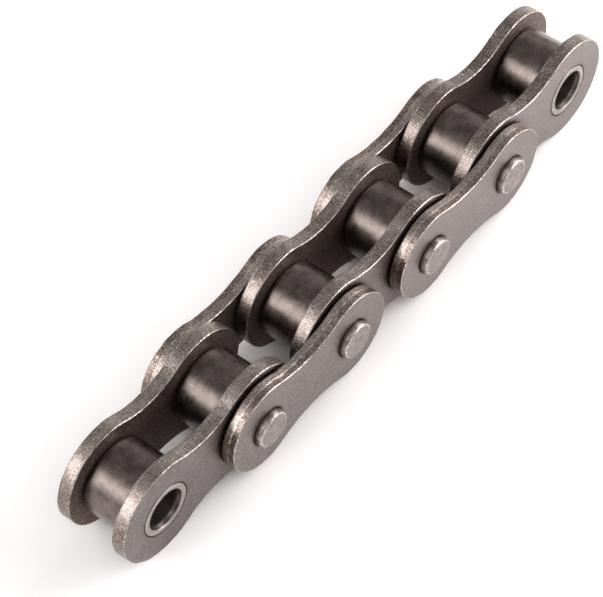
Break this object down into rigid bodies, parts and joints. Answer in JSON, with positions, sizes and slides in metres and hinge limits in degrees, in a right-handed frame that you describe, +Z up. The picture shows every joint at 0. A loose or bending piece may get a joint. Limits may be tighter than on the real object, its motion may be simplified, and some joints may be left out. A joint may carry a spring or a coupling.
{
  "type": "motorcycle chain",
  "caption": "Segment of motorcycle roller chain: waisted steel inner and outer plates on pins and bushes, with loose rollers and an open inner link at each end.",
  "frame": {"origin": "on the surface that the chain stands on, under the middle of the chain", "axes": "+X along the chain, +Y along the pins, +Z up across the height of the plates"},
  "size_m": [0.0938, 0.0164, 0.0144],
  "materials": {
    "plate_steel": "satin stamped steel, fine scratches, bright worn edges",
    "roller_steel": "dark smooth steel with an oily sheen",
    "bush_steel": "ground steel with bright bevels",
    "pin_steel": "ground steel with softly rounded ends"
  },
  "bodies": {
    "inner_link_1": {"inner_plate_1_front": "plate_steel", "inner_plate_1_back": "plate_steel", "bush_1": "bush_steel", "bush_2": "bush_steel"},
    "inner_link_2": {"inner_plate_2_front": "plate_steel", "inner_plate_2_back": "plate_steel", "bush_3": "bush_steel", "bush_4": "bush_steel"},
    "inner_link_3": {"inner_plate_3_front": "plate_steel", "inner_plate_3_back": "plate_steel", "bush_5": "bush_steel", "bush_6": "bush_steel"},
    "outer_link_1": {"outer_plate_1_front": "plate_steel", "outer_plate_1_back": "plate_steel", "pin_2": "pin_steel", "pin_3": "pin_steel"},
    "outer_link_2": {"outer_plate_2_front": "plate_steel", "outer_plate_2_back": "plate_steel", "pin_4": "pin_steel", "pin_5": "pin_steel"},
    "roller_1": {"roller_1": "roller_steel"},
    "roller_2": {"roller_2": "roller_steel"},
    "roller_3": {"roller_3": "roller_steel"},
    "roller_4": {"roller_4": "roller_steel"},
    "roller_5": {"roller_5": "roller_steel"},
    "roller_6": {"roller_6": "roller_steel"}
  },
  "joints": [
    {"name": "hinge_3", "type": "hinge", "parent": "inner_link_2", "child": "outer_link_1", "pos_m": [-0.00794, 0, 0.0072], "axis": [0, 1, 0], "range_deg": [-60, 60]},
    {"name": "hinge_2", "type": "hinge", "parent": "outer_link_1", "child": "inner_link_1", "pos_m": [-0.02381, 0, 0.0072], "axis": [0, 1, 0], "range_deg": [-60, 60]},
    {"name": "hinge_4", "type": "hinge", "parent": "inner_link_2", "child": "outer_link_2", "pos_m": [0.00794, 0, 0.0072], "axis": [0, -1, 0], "range_deg": [-60, 60]},
    {"name": "hinge_5", "type": "hinge", "parent": "outer_link_2", "child": "inner_link_3", "pos_m": [0.02381, 0, 0.0072], "axis": [0, -1, 0], "range_deg": [-60, 60]},
    {"name": "roller_1_spin", "type": "hinge", "parent": "inner_link_1", "child": "roller_1", "pos_m": [-0.03969, 0, 0.0072], "axis": [0, 1, 0], "continuous": true},
    {"name": "roller_2_spin", "type": "hinge", "parent": "inner_link_1", "child": "roller_2", "pos_m": [-0.02381, 0, 0.0072], "axis": [0, 1, 0], "continuous": true},
    {"name": "roller_3_spin", "type": "hinge", "parent": "inner_link_2", "child": "roller_3", "pos_m": [-0.00794, 0, 0.0072], "axis": [0, 1, 0], "continuous": true},
    {"name": "roller_4_spin", "type": "hinge", "parent": "inner_link_2", "child": "roller_4", "pos_m": [0.00794, 0, 0.0072], "axis": [0, 1, 0], "continuous": true},
    {"name": "roller_5_spin", "type": "hinge", "parent": "inner_link_3", "child": "roller_5", "pos_m": [0.02381, 0, 0.0072], "axis": [0, 1, 0], "continuous": true},
    {"name": "roller_6_spin", "type": "hinge", "parent": "inner_link_3", "child": "roller_6", "pos_m": [0.03969, 0, 0.0072], "axis": [0, 1, 0], "continuous": true}
  ]
}
